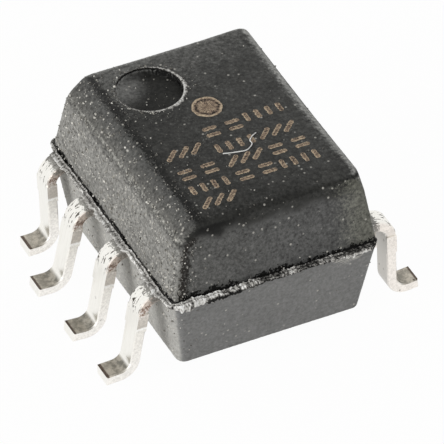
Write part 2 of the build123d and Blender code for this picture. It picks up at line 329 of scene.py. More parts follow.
def mouldedCompound(c):
    # Epoxy filled with black pigment and ground silica, transfer moulded. It looks like fine slate: dull, grey and
    # grainy.
    # Its colour by facing is painted light and shade: paler on the drafted sides, most on the left where the key light
    # falls and on the lower half where the floor's light falls, and darker on the flat top, in shade from above.
    # Grain and specks are drawn at 0.05 to 0.09 mm, where the filler itself is finer than the picture shows.
    material, add = newMaterial("mouldedSilicaFilledEpoxy")
    mm, x, y, z, facing = placeAndFacing(add)
    fine = add("TexNoise", {"Vector": mm, "Scale": 1 / c["grainSize"], "Detail": 3.0, "Roughness": 0.7})
    broad = add("TexNoise", {"Vector": mm, "Scale": 1 / c["patchSize"], "Detail": 3.0, "Roughness": 0.6})
    ragged = add("Math", fine, 0.5, operation="SUBTRACT")
    depth = add("Math", z, body["topZ"], operation="SUBTRACT")
    rise = add("Math", z, body["partingZ"], operation="SUBTRACT")
    above = add("MapRange", rise, -0.004, 0.004, **eased)

    # Which way the surface faces, the borders made ragged with the fine noise
    leaning = add("Math", ragged, 1.3, facing["X"], **timesPlus)
    slanted = add("Math", add("MapRange", facing["Z"], *c["bevelUp"], **eased),
                  add("MapRange", leaning, *c["bevelLeft"], **eased), **times)
    upward = add("Math", add("MapRange", facing["Z"], *c["topUp"], **eased),
                 add("Math", 1.0, slanted, operation="SUBTRACT"), **times)

    # How far a point of the front lies from the left wall and the bevel, whose shade wraps round the corner
    fromWall = add("Math", x, body["halfWidth"] - body["ledge"], operation="ADD")
    fromWall = add("Math", rise, -upperLean, fromWall, **timesPlus)
    fromBevel = add("Math", add("Math", x, depth, operation="SUBTRACT"), bevelHeadX, operation="SUBTRACT")
    fromBevel = add("Math", fromBevel, cos(pi / 4), **times)
    fromEdge = add("Math", fromWall, fromBevel, operation="MINIMUM")
    fromEdge = add("Math", ragged, 0.50, fromEdge, **timesPlus)
    wrap = add("Math", add("MapRange", fromEdge, *c["wrap"], **eased), above, **times)
    towardFront = add("Math", add("MapRange", facing["Y"], *c["frontFacing"], **eased),
                      add("Math", 1.0, wrap, operation="SUBTRACT"), **times)
    towardLeft = add("Math", add("MapRange", facing["X"], *c["leftFacing"], **eased), wrap, operation="MAXIMUM")

    # The front, in layers, its colours painted as a face in shade whose lower half the floor's light reaches: painted
    # shade by the corner and under the top's rounded edge, a black band of painted shadow at its left, dusty at its
    # right
    uneven = add("Math", broad, 0.55, add("Math", ragged, 0.30, depth, **timesPlus), **timesPlus)
    shaded = add("Math", add("MapRange", fromEdge, *c["cornerShade"], **eased), above, **times)
    shadowBand = add("Math", add("MapRange", uneven, *c["shadowBand"], **eased),
                    add("MapRange", x, *c["bandFade"], **eased), **times)
    dustyRight = add("MapRange", add("Math", ragged, 1.2, x, **timesPlus), *c["rightDust"], **eased)
    dustyRight = add("Math", add("Math", dustyRight, above, **times), c["rightCover"], **times)
    front = add("Mix", {0: add("MapRange", x, *c["frontFade"], **eased), 6: c["frontUpperLeft"],
                        7: c["frontUpperRight"]}, **inColour)
    front = add("Mix", {0: above, 6: c["frontLower"], 7: front}, **inColour)
    for share, shade in ((shaded, "frontCorner"), (add("MapRange", uneven, *c["roundedEdgeShade"], **eased), "topDark"),
                         (shadowBand, "topBand"), (dustyRight, "frontRight")):
        front = add("Mix", {0: share, 6: front, 7: c[shade]}, **inColour)

    # The left side, painted paler on its lower half where the floor's light falls, and the bevel, painted darker
    # towards its head as shade, with a painted highlight line at the bevel's foot
    bevel = add("Mix", {0: add("MapRange", depth, -body["bevelLeg"], -0.05, **eased), 6: c["bevelFoot"],
                        7: c["bevelHead"]}, **inColour)
    bevelWrap = add("Math", wrap, add("MapRange", depth, -body["bevelLeg"], -0.30, **eased), **times)
    fromLine = add("Math", add("Math", depth, body["bevelLeg"] - 0.005, operation="ADD"), operation="ABSOLUTE")
    bevelHighlightMask = add("Math", add("MapRange", fromLine, *c["bevelHighlightWidth"], **eased), towardLeft, **times)
    bevelHighlightMask = add("Math", bevelHighlightMask, add("MapRange", fine, 0.40, 0.60, **eased), **times)
    side = add("Mix", {0: above, 6: c["leftLower"], 7: c["leftUpper"]}, **inColour)
    for share, shade in ((bevelWrap, bevel), (towardFront, front), (slanted, bevel), (bevelHighlightMask, c["bevelFootHighlight"])):
        side = add("Mix", {0: share, 6: side, 7: shade}, **inColour)

    # The top: a painted sheen from dark at the front left to light at the back right, bands of painted shadow inside
    # its left and front edges, and painted highlights along its back and right edges
    slope = add("VectorMath", mm, c["topSheenSlope"], operation="DOT_PRODUCT")
    top = add("Mix", {0: add("MapRange", slope, -0.5, 0.5, **eased), 6: c["topDark"], 7: c["topSheenLight"]}, **inColour)
    backPlace = add("Math", ragged, 1.2, add("Math", x, -0.30, y, **timesPlus), **timesPlus)
    headPlace = add("Math", add("Math", fine, 0.22, x, **timesPlus), bevelHeadX, operation="SUBTRACT")
    frontPlace = add("Math", fine, 0.20, add("Math", x, 0.06, y, **timesPlus), **timesPlus)
    frontPlace = add("Math", frontPlace, body["halfLength"] - topInset, operation="ADD")
    band = add("Math", add("MapRange", headPlace, *c["leftBand"], **eased),
               add("MapRange", frontPlace, *c["frontBand"], **eased), operation="MAXIMUM")
    right, back = (add("Math", ragged, 0.5, facing[axis], **timesPlus) for axis in "XY")
    edgeHighlight = add("Math", add("MapRange", right, *c["rightEdge"], **eased),
                   add("MapRange", back, *c["backEdge"], **eased), operation="MAXIMUM")
    for share, shade in ((add("MapRange", backPlace, *c["backSheen"], **eased), "topEdge"), (band, "topBand"),
                         (edgeHighlight, "topEdge")):
        top = add("Mix", {0: share, 6: top, 7: c[shade]}, **inColour)

    # The round recess: a flat floor in its own colour with a painted reflection, pale towards its back left, and its
    # wall painted black as shade
    flat = add("VectorMath", mm, (1, 1, 0), **times)
    reach = add("VectorMath", flat, (recess["x"], recess["y"], 0), operation="DISTANCE")
    spotX, spotY = c["sheenSpot"]
    sheenReach = add("VectorMath", flat, (recess["x"] + spotX, recess["y"] + spotY, 0), operation="DISTANCE")
    floorColour = add("Mix", {0: add("MapRange", sheenReach, 0.72, 0.0, **eased), 6: c["recessFloor"],
                              7: c["recessSheen"]}, **inColour)
    sunk = add("Math", upward, add("MapRange", depth, *c["floorDepth"], **eased), **times)
    inside = add("Math", add("MapRange", reach, recess["radius"] + 0.010, recess["radius"] + 0.004, **eased),
                 add("MapRange", depth, *c["wallDepth"], **eased), **times)
    inside = add("Math", inside, add("MapRange", upward, 0.5, 0.1, **eased), **times)
    colour = side
    for share, shade in ((upward, top), (sunk, floorColour), (inside, c["black"])):
        colour = add("Mix", {0: share, 6: colour, 7: shade}, **inColour)

    # Dustiness by zone: most on the left, the bevel and the front left corner
    fromFront = add("Math", y, body["halfLength"] - body["ledge"], operation="ADD")
    fromFront = add("Math", rise, -upperLean, fromFront, **timesPlus)
    corner = add("Math", add("MapRange", fromFront, *c["cornerPits"], **eased), towardLeft, **times)
    corner = add("Math", corner, above, **times)
    dusty = add("MapRange", add("Math", x, y, operation="SUBTRACT"), *c["dust"], **eased)
    dusty = add("Math", towardLeft, c["leftDust"], dusty, **timesPlus)
    dusty = add("Math", corner, c["cornerDust"], dusty, **timesPlus)

    # Grain and patches, weaker on the lower half
    strength = add("Math", add("Math", dusty, 0.6, c["grain"], **timesPlus),
                   add("MapRange", above, 0.0, 1.0, c["lowerGrain"], 1.0, **eased), **times)
    grain = add("Math", ragged, strength, 1.0, **timesPlus)
    patches = add("Math", add("Math", broad, 0.5, operation="SUBTRACT"),
                  add("MapRange", above, 0.0, 1.0, c["lowerPatches"], c["patches"], **eased), 1.0, **timesPlus)
    colour = add("VectorMath", {0: colour, "Scale": add("Math", grain, patches, **times)}, operation="SCALE")

    # Pale specks, and dark pits, each a dip in the bump painted black as the shade inside it, in chosen cells
    cells = add("TexVoronoi", {"Vector": mm, "Scale": 1 / c["speckSpacing"], "Randomness": 1.0})
    chance = add("SeparateColor", cells.outputs["Color"]).outputs
    near = add("MapRange", cells.outputs["Distance"], 0.34, 0.14, **eased)
    speck = add("Math", dusty, c["specks"], chance[0], **timesPlus)
    speck = add("Math", add("Math", speck, 1.0, operation="GREATER_THAN"), near, **times)
    pit = add("Math", corner, 0.20, add("Math", dusty, 0.03, chance[1], **timesPlus), **timesPlus)
    pit = add("Math", add("Math", pit, 1.0, operation="GREATER_THAN"), near, **times)
    pit = add("Math", pit, above, **times)

    # Pale scuffs drawn along the front, under the right end of the parting
    scuffLines = add("Mapping", {"Vector": mm, "Scale": (1 / c["scuffLength"], 1.0, 1 / c["scuffWidth"]),
                                 "Rotation": (0, radians(12), 0)})
    scuffs = add("TexNoise", {"Vector": scuffLines, "Scale": 1.0, "Detail": 2.0})
    scuffed = towardFront
    for value, span in ((x, c["scuffFade"][0]), (x, c["scuffFade"][1]), (rise, c["scuffRise"]), (above, (1.0, 0.0)),
                        (scuffs, (0.52, 0.62))):
        scuffed = add("Math", scuffed, add("MapRange", value, *span, **eased), **times)

    # Painted shadow along the parting groove, painted black: the ledge, and a ragged strip up the wall over it, taller
    # on the front
    ledge = add("Math", upward, add("MapRange", rise, *c["ledgeRise"], **eased), **times)
    stripTop = add("Math", fine, 0.11, add("Math", broad, 0.30, -0.185, **timesPlus), **timesPlus)
    stripTop = add("Math", towardFront, add("Math", ragged, 0.30, 0.058, **timesPlus), stripTop, **timesPlus)
    strip = add("MapRange", add("Math", rise, stripTop, operation="SUBTRACT"), *c["strip"], **eased)
    grooveShadow = add("Math", ledge, add("Math", strip, above, **times), operation="MAXIMUM")

    for mask, cover, shade in ((speck, c["speckCover"], "speck"), (pit, c["pitCover"], "black"),
                               (scuffed, c["scuffCover"], "speck"), (grooveShadow, 1.0, "black")):
        share = add("Math", mask, cover, **times)
        colour = add("Mix", {0: share, 6: colour, 7: c[shade]}, **inColour)
    height = add("Math", pit, -0.8, add("Math", speck, 0.8, fine, **timesPlus), **timesPlus)
    bump = add("Bump", {"Height": height, "Strength": c["bump"], "Distance": c["bumpHeight"]})
    shader = add("BsdfPrincipled", {"Base Color": colour, "Roughness": c["roughness"],
                                    "Specular IOR Level": c["specular"], "Normal": bump})
    add("OutputMaterial", {"Surface": shader})
    return material


# Lead material

# The inner face's grey is painted shade; the foot's dark and pale mix stain with a painted dark reflection
plating = {"broad": "#f6f4ee", "broadLow": "#eceae3", "innerFaceShade": "#a8a49d", "rightShear": "#f3ede6",
           "bleed": "#8d8b84", "bleedDark": "#4b4844", "footDark": "#6f6d65", "footPale": "#c2bbae",
           "footEdge": "#4a3a30", "toolMark": "#4a443c",
           # bands up the sheared edges: height in millimetres, and shade
           "shear": [(0.00, "#f0ece5"), (0.30, "#f8f5f0"), (1.14, "#eeebe4"), (1.19, "#fffefb"), (1.22, "#cac4bb"),
                     (1.44, "#d4cec6"), (1.50, "#f2ede8"), (1.54, "#b09a8d"), (1.59, "#6f5a4d"), (1.65, "#d0c2b7"),
                     (1.85, "#e8dcd2")],
           # pattern sizes in millimetres; lines and dashes by length, width and detail
           "fineSize": 0.045, "markSpacing": 0.14, "stainSize": 0.11, "lines": (0.40, 0.026, 3.0),
           "dashes": (0.13, 0.042, 1.0), "bleedReach": 0.38,
           # heights over which a zone sets in, in millimetres, and how far a torn band strays at each end
           "bendRise": (1.35, 1.60), "torn": (1.38, 1.50, 0.10, 0.55), "footRise": (0.48, 0.40),
           "bleedRise": (1.60, 1.72),
           # facings over which a zone sets in, as parts of the normal
           "shearFacing": (0.55, 0.85), "innerFacing": (-0.40, -0.80), "footFacing": (0.45, 0.75),
           "toeFacing": (0.20, 0.50),
           # distances from the toe, in millimetres, and how far a zone covers
           "toeLine": (0.085, 0.060), "toePale": (0.45, 0.10, 0.0, 0.45), "toeCover": 0.85, "rightCover": 0.85,
           "innerCover": 0.8, "bleedCover": 0.85, "stainCover": 0.55, "markChance": 0.88,
           "bump": 0.18, "bumpHeight": 0.000008, "roughness": 0.30, "shearRoughness": 0.48, "bleedMetal": 0.2}


def platedCopperAlloy(p):
    # Copper alloy strip, stamped, plated and bent. The plated faces are bright and a little warm, with fine
    # drawing lines along the strip. The sheared edges show bands: rolled, sheared and torn brown copper.
    # The foot's top is dull and streaked, darkened by stain and a painted dark reflection, with a dark line along the
    # toe;
    # short dark dashes cross the bend, the right leads' faces towards the body have painted shade, and grey resin has
    # crept over the shoulder next to the body.
    material, add = newMaterial("platedCopperAlloy")
    mm, x, y, z, facing = placeAndFacing(add)
    fromMiddle = add("Math", x, operation="ABSOLUTE")
    onRight = add("Math", x, 0.0, operation="GREATER_THAN")
    fine = add("TexNoise", {"Vector": mm, "Scale": 1 / p["fineSize"], "Detail": 3.0, "Roughness": 0.7})
    drawn, dashes = (
        add("TexNoise", {"Vector": add("Mapping", {"Vector": mm, "Scale": (1 / length, 1 / width, 1 / length)}),
                         "Scale": 1.0, "Detail": detail}) for length, width, detail in (p["lines"], p["dashes"]))

    # The broad faces, with painted shade where the right leads face the body, and the banded sheared edges
    broad = add("Mix", {0: add("MapRange", drawn, 0.40, 0.80, **eased), 6: p["broad"], 7: p["broadLow"]}, **inColour)
    innerFaceShade = add("Math", onRight, add("MapRange", facing["X"], *p["innerFacing"], **eased), **times)
    innerFaceShade = add("Math", innerFaceShade, p["innerCover"], **times)
    broad = add("Mix", {0: innerFaceShade, 6: broad, 7: p["innerFaceShade"]}, **inColour)
    sheared = add("MapRange", add("Math", facing["Y"], operation="ABSOLUTE"), *p["shearFacing"], **eased)
    bandPlace = add("Math", add("Math", fine, 0.5, operation="SUBTRACT"),
                    add("MapRange", z, *p["torn"], **eased), z, **timesPlus)
    bands = add("ValToRGB", {"Fac": add("Math", bandPlace, 2.0, operation="DIVIDE")})
    setStops(bands, [(height / 2.0, shade) for height, shade in p["shear"]])
    rightShare = add("Math", onRight, p["rightCover"], **times)
    edgeColour = add("Mix", {0: rightShare, 6: bands, 7: p["rightShear"]}, **inColour)
    mottle = add("MapRange", fine, 0.32, 0.68, 0.88, 1.10, **eased)
    edgeColour = add("VectorMath", {0: edgeColour, "Scale": mottle}, operation="SCALE")

    # How far each lead's toe reaches from the body's middle: the right leads are alike, the left ones aren't
    rightReach = boxInMm("lead_5")[1][0]
    toeReach = rightReach
    onLeft = add("Math", x, 0.0, operation="LESS_THAN")
    for number in (1, 2, 3, 4):
        leadLow, leadHigh = boxInMm("lead_%d" % number)
        own = add("Math", y, (leadLow[1] + leadHigh[1]) / 2, 0.6, operation="COMPARE")
        own = add("Math", own, onLeft, **times)
        toeReach = add("Math", own, -leadLow[0] - rightReach, toeReach, **timesPlus)
    toToe = add("Math", toeReach, fromMiddle, operation="SUBTRACT")

    # The foot's top: stain and a painted dark reflection, paler towards the toe, with a dark line along the toe
    nearFoot = add("MapRange", z, *p["footRise"], **eased)
    footTop = add("Math", add("MapRange", facing["Z"], *p["footFacing"], **eased), nearFoot, **times)
    stain = add("TexNoise", {"Vector": mm, "Scale": 1 / p["stainSize"], "Detail": 4.0, "Roughness": 0.7})
    footShare = add("Math", add("MapRange", stain, 0.38, 0.62, **eased), p["stainCover"],
                    add("MapRange", toToe, *p["toePale"], **eased), **timesPlus)
    footStainAndReflection = add("Mix", {0: footShare, 6: p["footDark"], 7: p["footPale"]}, **inColour)
    toe = nearFoot
    for value, span in ((facing["Z"], p["toeFacing"]),
                        (add("Math", fine, 0.03, toToe, **timesPlus), p["toeLine"])):
        toe = add("Math", toe, add("MapRange", value, *span, **eased), **times)
    toe = add("Math", toe, p["toeCover"], **times)

    # Dark tool marks in a few cells, and dashes across the bend
    cells = add("TexVoronoi", {"Vector": mm, "Scale": 1 / p["markSpacing"], "Randomness": 1.0})
    chance = add("SeparateColor", cells.outputs["Color"]).outputs
    mark = add("Math", chance[0], p["markChance"], operation="GREATER_THAN")
    for value, span in ((cells.outputs["Distance"], (0.26, 0.12)), (fine, (0.40, 0.60))):
        mark = add("Math", mark, add("MapRange", value, *span, **eased), **times)
    scratch = add("Math", 1.0, sheared, operation="SUBTRACT")
    for value, span in ((z, p["bendRise"]), (dashes, (0.58, 0.64)), (fine, (0.36, 0.46))):
        scratch = add("Math", scratch, add("MapRange", value, *span, **eased), **times)
    mark = add("Math", scratch, mark, operation="MAXIMUM")

    # Grey resin on the shoulder, up to a ragged front
    outward = add("Math", fromMiddle, body["halfWidth"], operation="SUBTRACT")
    resinEnd = add("Math", fine, p["bleedReach"], **times)
    bleed = add("MapRange", add("Math", outward, resinEnd, operation="SUBTRACT"), 0.035, 0.000, **eased)
    bleed = add("Math", bleed, add("MapRange", z, *p["bleedRise"], **eased), **times)
    bleedShare = add("Math", bleed, p["bleedCover"], **times)
    bleedColour = add("Mix", {0: add("MapRange", fine, 0.35, 0.62, **eased), 6: p["bleedDark"], 7: p["bleed"]},
                      **inColour)

    colour = broad
    for share, shade in ((sheared, edgeColour), (footTop, footStainAndReflection), (toe, p["footEdge"]), (mark, p["toolMark"]),
                         (bleedShare, bleedColour)):
        colour = add("Mix", {0: share, 6: colour, 7: shade}, **inColour)
    dull = add("Math", add("Math", sheared, footTop, operation="MAXIMUM"), bleed, operation="MAXIMUM")
    bump = add("Bump", {"Height": add("Math", drawn, mark, operation="SUBTRACT"), "Strength": p["bump"],
                        "Distance": p["bumpHeight"]})
    shader = add("BsdfPrincipled", {
        "Base Color": colour, "Metallic": add("MapRange", bleed, 0.0, 1.0, 1.0, p["bleedMetal"], **eased),
        "Roughness": add("MapRange", dull, 0.0, 1.0, p["roughness"], p["shearRoughness"], **eased), "Normal": bump})
    add("OutputMaterial", {"Surface": shader})
    return material


# Inner finishes, hidden inside the body

innerFinishes = {
    # slot: name, two shades, pattern spacing in mm, metallic, roughness, transmission
    "emitter_chip": ("polishedGalliumArsenide", "#5d4a40", "#6b574b", 0.05, 0.3, 0.15, 0.0),
    "detector_chip": ("polishedSilicon", "#4d5563", "#5f6776", 0.05, 0.3, 0.12, 0.0),
    "die_attach": ("silverFilledEpoxy", "#9b9b9c", "#c4c4c4", 0.02, 0.6, 0.45, 0.0),
    "clear_gel": ("clearSiliconeGel", "#e6e6df", "#f1f1ec", 0.40, 0.0, 0.08, 0.9),
    "clear_film": ("amberPolyimideFilm", "#c98f34", "#d9a34a", 0.30, 0.0, 0.18, 0.6),
    "bond_wire": ("drawnGoldWire", "#e3b45a", "#f0c873", 0.01, 1.0, 0.18, 0.0)}


def innerFinish(name, dark, pale, spacing, metallic, roughness, transmission):
    # Polished wafer, silver paste, clear gel, amber film or gold wire: one soft variation between two shades
    material, add = newMaterial(name)
    noise = add("TexNoise", {"Vector": add("TexCoord").outputs["Object"], "Scale": 1000 / spacing, "Detail": 2.0})
    shade = add("Mix", {0: noise, 6: dark, 7: pale}, **inColour)
    shader = add("BsdfPrincipled", {"Base Color": shade, "Metallic": metallic, "Roughness": roughness,
                                    "Transmission Weight": transmission})
    add("OutputMaterial", {"Surface": shader})
    return material


# Debris material, driven by each point's tone

crust = {"unevenness": 0.9, "specular": 0.15, "bump": 0.5, "bumpHeight": 0.000010}


def tonedCrust(name, shades, roughness, grain):
    # Broken resin, mould dust, laser char or lint: matt, from the first shade at tone 0 to the last at tone 1
    material, add = newMaterial(name)
    tone = add("Attribute", attribute_name="tone").outputs["Fac"]
    noise = add("TexNoise", {"Vector": add("TexCoord").outputs["Object"], "Scale": 1000 / grain, "Detail": 2.0,
                             "Roughness": 0.6})
    wobble = add("Math", noise, crust["unevenness"], -crust["unevenness"] / 2, **timesPlus)
    bands = add("ValToRGB", {"Fac": add("Math", tone, wobble, operation="ADD", use_clamp=True)})
    setStops(bands, [(index / (len(shades) - 1), shade) for index, shade in enumerate(shades)])
    bump = add("Bump", {"Height": noise, "Strength": crust["bump"], "Distance": crust["bumpHeight"]})
    shader = add("BsdfPrincipled", {"Base Color": bands, "Roughness": roughness,
                                    "Specular IOR Level": crust["specular"], "Normal": bump})
    add("OutputMaterial", {"Surface": shader})
    return material


finishes = {"mould_compound": mouldedCompound(compound), "plated_lead": platedCopperAlloy(plating)}
for slotName, values in innerFinishes.items():
    finishes[slotName] = innerFinish(*values)
for part in frame["record"]["subparts"]:
    mesh = nodes[part["node"]].data
    mesh.materials.clear()
    mesh.materials.append(finishes[part["material_slot"]])
crustFinish = tonedCrust("tornResinCrust", ["#0b0b0a", "#383735", "#8c8a86", "#d6d4cf", "#fbfbf9"], 0.8, 0.030)
etchFinish = tonedCrust("laserEtchedResin", ["#1b1a18", "#5b5048", "#a08c78", "#cdbba0"], 0.8, 0.018)
dustFinish = tonedCrust("silicaDust", ["#5f5d58", "#a5a29a", "#e9e6de"], 0.85, 0.010)
fibreFinish = tonedCrust("cottonLint", ["#c9c9c6", "#fbfbf9"], 0.7, 0.020)
print("materials made")


# Moulded body, its corners worn round and its skin grained

shell = {"columns": 580, "upperRows": 112, "lowerRows": 56, "seed": 7,
         "left": 0.050, "right": 0.012, "front": 0.085, "back": 0.040,
         "bevelFoot": 0.170, "bevelHead": 0.150, "bevelPush": 0.050,
         "topRight": 0.32, "topFront": 0.42, "topBack": 0.24,
         "cornerLeft": 0.30, "cornerRight": 0.08, "lowerCorner": 0.28, "bottom": 0.10,
         "grainLeft": 0.0024, "grainElse": 0.0011, "grainCorner": 0.0090, "recessFloorGrain": 0.0010,
         # how far inside and outside the recess points are drawn onto its wall, and its foot's inset
         "wallInside": 0.045, "wallOutside": 0.025, "wallInset": 0.003}


def softMin(first, second, reach):
    # The smaller of the two, eased where they differ by less than reach:
    # min - reach / 4 (1 - difference / reach) squared
    near = np.clip(1 - np.abs(first - second) / reach, 0, 1)
    return np.minimum(first, second) - reach / 4 * near ** 2


def planeReach(directions, normal, distance):
    # How far along each direction a plane lies, and far off where it faces away
    facing = directions @ np.array(normal, dtype=float)
    return np.where(facing > 0.0001, distance / np.maximum(facing, 0.0001), 99.0)


def mouldedShell(m):
    # Each point lies on a ray from the middle of the parting plane: centre + direction (reach + grain), where
    # reach is the eased least distance to the planes of its half. Columns go round, rows climb from the
    # underside to the outline, over the ledge and up to the middle of the top. The recess is pressed in after.
    random = np.random.default_rng(m["seed"])
    length = 4 * (body["halfWidth"] + body["halfLength"] - 2 * body["lowerCorner"]) + 2 * pi * body["lowerCorner"]
    places, outline, normals, length = roundedOutline(body["halfWidth"], body["halfLength"], body["lowerCorner"],
                                                      length / (m["columns"] + 0.5))
    turn = np.arctan2(outline[:, 1], outline[:, 0])
    lowerRise = np.radians(np.interp(np.linspace(0, 1, m["lowerRows"]), [0, 0.05, 0.14, 0.74, 1],
                                     [-88.5, -55, -43, -26, 0]))
    upperRise = np.radians(np.interp(np.linspace(0, 1, m["upperRows"]), [0, 0.30, 0.72, 0.90, 1],
                                     [0, 22, 50, 72, 88.5]))

    def rays(rise):
        rise, around = np.meshgrid(rise, turn, indexing="ij")
        return np.stack([np.cos(rise) * np.cos(around), np.cos(rise) * np.sin(around), np.sin(rise)], axis=2)

    rise = rays(upperRise)
    c, s = cos(radians(body["upperDraft"])), sin(radians(body["upperDraft"]))
    leftWall = planeReach(rise, (-c, 0, s), (body["halfWidth"] - m["left"]) * c)
    rightWall = planeReach(rise, (c, 0, s), (body["halfWidth"] - m["right"]) * c)
    frontWall = planeReach(rise, (0, -c, s), (body["halfLength"] - m["front"]) * c)
    backWall = planeReach(rise, (0, c, s), (body["halfLength"] - m["back"]) * c)
    tall = body["topZ"] - body["partingZ"]
    top = planeReach(rise, (0, 0, 1), tall)
    bevel = planeReach(rise, (-1, 0, 1), -bevelFootX + tall - body["bevelLeg"] + m["bevelPush"])
    across = np.minimum(softMin(leftWall, bevel, m["bevelFoot"]), rightWall)
    across = softMin(across, top, np.where(rise[..., 0] < 0, m["bevelHead"], m["topRight"]))
    corner = np.where(rise[..., 0] < 0, m["cornerLeft"], m["cornerRight"])
    edge = np.where(rise[..., 1] < 0, m["topFront"], m["topBack"])
    high = np.clip((rise[..., 2] - sin(radians(20))) / 0.17, 0, 1)
    upperReach = softMin(across, np.minimum(frontWall, backWall), corner + (edge - corner) * high)

    fall = rays(lowerRise)
    c, s = cos(radians(body["lowerDraft"])), sin(radians(body["lowerDraft"]))
    sides = planeReach(fall, (c, 0, -s), body["halfWidth"] * c)
    sides = np.minimum(sides, planeReach(fall, (-c, 0, -s), body["halfWidth"] * c))
    ends = planeReach(fall, (0, c, -s), body["halfLength"] * c)
    ends = np.minimum(ends, planeReach(fall, (0, -c, -s), body["halfLength"] * c))
    lowerReach = softMin(sides, ends, m["lowerCorner"])
    lowerReach = softMin(lowerReach, planeReach(fall, (0, 0, -1), body["partingZ"] - body["bottomZ"]), m["bottom"])

    directions = np.concatenate([fall, rise])
    reach = np.concatenate([lowerReach, upperReach])
    points = directions * reach[..., None]
    leftSide = directions[..., 0] * body["halfLength"] < -np.abs(directions[..., 1]) * body["halfWidth"]
    grain = np.where(leftSide, m["grainLeft"], m["grainElse"])
    nearCorner = np.clip((-points[..., 1] - 2.0) / 0.3, 0, 1) * np.clip((-points[..., 0] - 1.5) / 0.3, 0, 1)
    grain = grain + m["grainCorner"] * nearCorner * leftSide * (points[..., 2] > 0.02)
    grain = grain * np.clip(np.hypot(points[..., 0], points[..., 1]) / 0.8, 0, 1)
    rough = random.normal(0, 1, reach.shape) * grain
    points = directions * (reach + rough)[..., None]

    # The recess: its nearest points are drawn onto the circle, so that the wall stands upright
    offset = points[..., :2] - np.array([recess["x"], recess["y"]])
    distance = np.hypot(offset[..., 0], offset[..., 1])
    onTop = points[..., 2] > tall - 0.05
    sunk = onTop & (distance < recess["radius"])
    newDistance = np.where(sunk & (distance > recess["radius"] - m["wallInside"]),
                           recess["radius"] - m["wallInset"], distance)
    newDistance = np.where(onTop & ~sunk & (distance < recess["radius"] + m["wallOutside"]),
                           recess["radius"], newDistance)
    offset *= (newDistance / np.maximum(distance, 0.0001))[..., None]
    points[..., :2] = offset + np.array([recess["x"], recess["y"]])
    floorRough = random.normal(0, m["recessFloorGrain"], distance.shape)
    points[..., 2] = np.where(sunk, tall - recess["depth"] + floorRough, points[..., 2]) + body["partingZ"]

    rows, columns = reach.shape
    piece = addPiece("moulded_shell", points.reshape(-1, 3), [gridFaces(rows, columns), endCaps(rows, columns)],
                     finishes["mould_compound"])
    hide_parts("mould_body")
    return points


# Parting-line flash

flash = {"step": 0.018, "seed": 11, "leadOverlap": 0.045, "trimmedReach": 0.084,
         # the worn right front corner: where it starts, the reach it loses, and shares of height and tone lost
         "wornFrom": 1.86, "wornReach": 0.070, "wornHeight": 0.6, "wornTone": 0.7,
         "left": {"gap": 0.050, "reach": 0.168, "height": 0.024, "droop": 0.070, "crest": 0.84, "face": 0.52,
                  "lip": 0.78},
         # places along the front edge in mm, then height, droop and the three tones; a face tone below 0 paints black
         # shade in the broken voids under the crest
         "front": [(-1.98, 0.020, 0.05, 0.78, 0.45, 0.85), (-1.86, 0.026, 0.09, 0.84, 0.70, 0.85),
                   (-1.80, 0.054, 0.17, 1.00, 0.96, 0.95), (-1.38, 0.058, 0.16, 0.98, 0.88, 0.84),
                   (-1.33, 0.045, 0.15, 0.85, -0.15, 0.58), (-0.98, 0.032, 0.15, 0.78, -0.20, 0.55),
                   (-0.92, 0.026, 0.14, 0.52, -0.20, 0.50), (-0.72, 0.030, 0.12, 0.56, -0.10, 0.52),
                   (-0.66, 0.048, 0.10, 0.76, 0.30, 0.74), (-0.36, 0.050, 0.09, 0.74, 0.32, 0.66),
                   (-0.28, 0.026, 0.06, 0.44, 0.10, 0.32), (0.06, 0.024, 0.05, 0.36, 0.12, 0.30),
                   (0.14, 0.034, 0.06, 0.64, 0.20, 0.36), (0.40, 0.034, 0.06, 0.60, 0.20, 0.36),
                   (0.50, 0.024, 0.05, 0.38, 0.14, 0.34), (0.92, 0.024, 0.05, 0.40, 0.18, 0.36),
                   (1.00, 0.026, 0.07, 0.50, 0.45, 0.62), (1.30, 0.020, 0.11, 0.42, 0.78, 0.82),
                   (1.36, 0.018, 0.15, 0.38, 0.92, 0.92), (1.82, 0.018, 0.14, 0.36, 0.90, 0.90),
                   (1.90, 0.020, 0.03, 0.50, 0.50, 0.45)]}


def roundedOutline(halfWidth, halfLength, radius, step):
    # Places, points and outward normals round a rectangle with quarter-circle corners, counter-clockwise
    # seen from above, from the left end of the front edge. On side q the normal stands at (q - 1) 90 degrees,
    # and turns by distance / radius along a corner.
    straights = 2 * np.array([halfWidth - radius, halfLength - radius] * 2)
    runs = np.concatenate([[0], np.cumsum(np.stack([straights, np.full(4, radius * pi / 2)], axis=1).ravel())])
    count = int(runs[-1] / step)
    places = np.arange(count) * runs[-1] / count
    run = np.searchsorted(runs, places, side="right") - 1
    along, quarter, straight = places - runs[run], run // 2, run % 2 == 0
    angle = (quarter - 1) * pi / 2 + np.where(straight, 0, along / radius)
    normals = np.stack([np.cos(angle), np.sin(angle)], axis=1)
    tangents = np.stack([-normals[:, 1], normals[:, 0]], axis=1)
    centres = np.array([[1, -1], [1, 1], [-1, 1], [-1, -1]]) * [halfWidth - radius, halfLength - radius]
    points = np.where(straight[:, None], centres[quarter - 1] + along[:, None] * tangents, centres[quarter])
    return places, points + radius * normals, normals, runs[-1]


